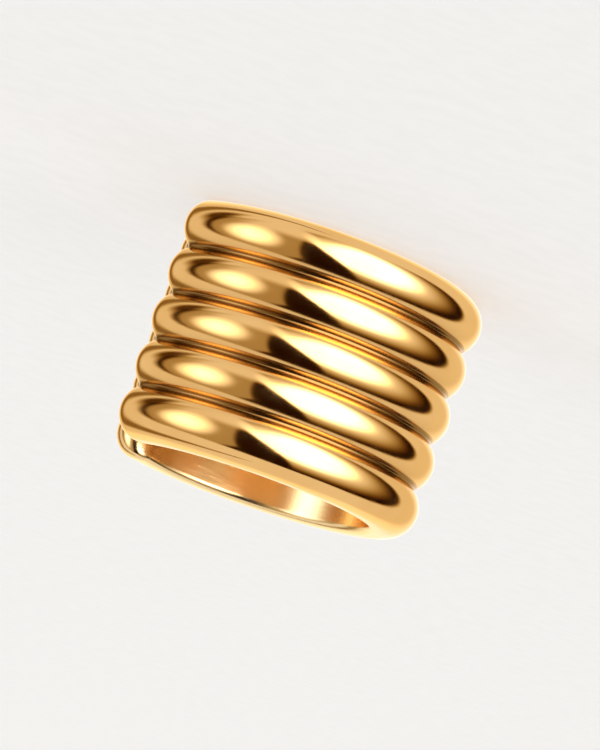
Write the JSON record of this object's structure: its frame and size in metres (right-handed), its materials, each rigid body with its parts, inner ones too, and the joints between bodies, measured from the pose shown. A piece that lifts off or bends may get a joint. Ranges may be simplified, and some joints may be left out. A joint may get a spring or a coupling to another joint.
{
  "type": "ear cuff",
  "caption": "Open C-shaped band of round ribs set side by side, smooth inside, with rounded tips. It slips over the outer rim of an ear and grips it.",
  "frame": {"origin": "under the middle of the bounding box, on the surface that the cuff rests on", "axes": "+Z along the band's axis, +X out through the opening between the tips, -Y towards the arm worn on the front of the ear"},
  "size_m": [0.0112, 0.012, 0.009],
  "materials": {
    "polished_gold": "polished yellow gold plating"
  },
  "bodies": {
    "root": {"ribbed_band": "polished_gold"}
  },
  "joints": []
}
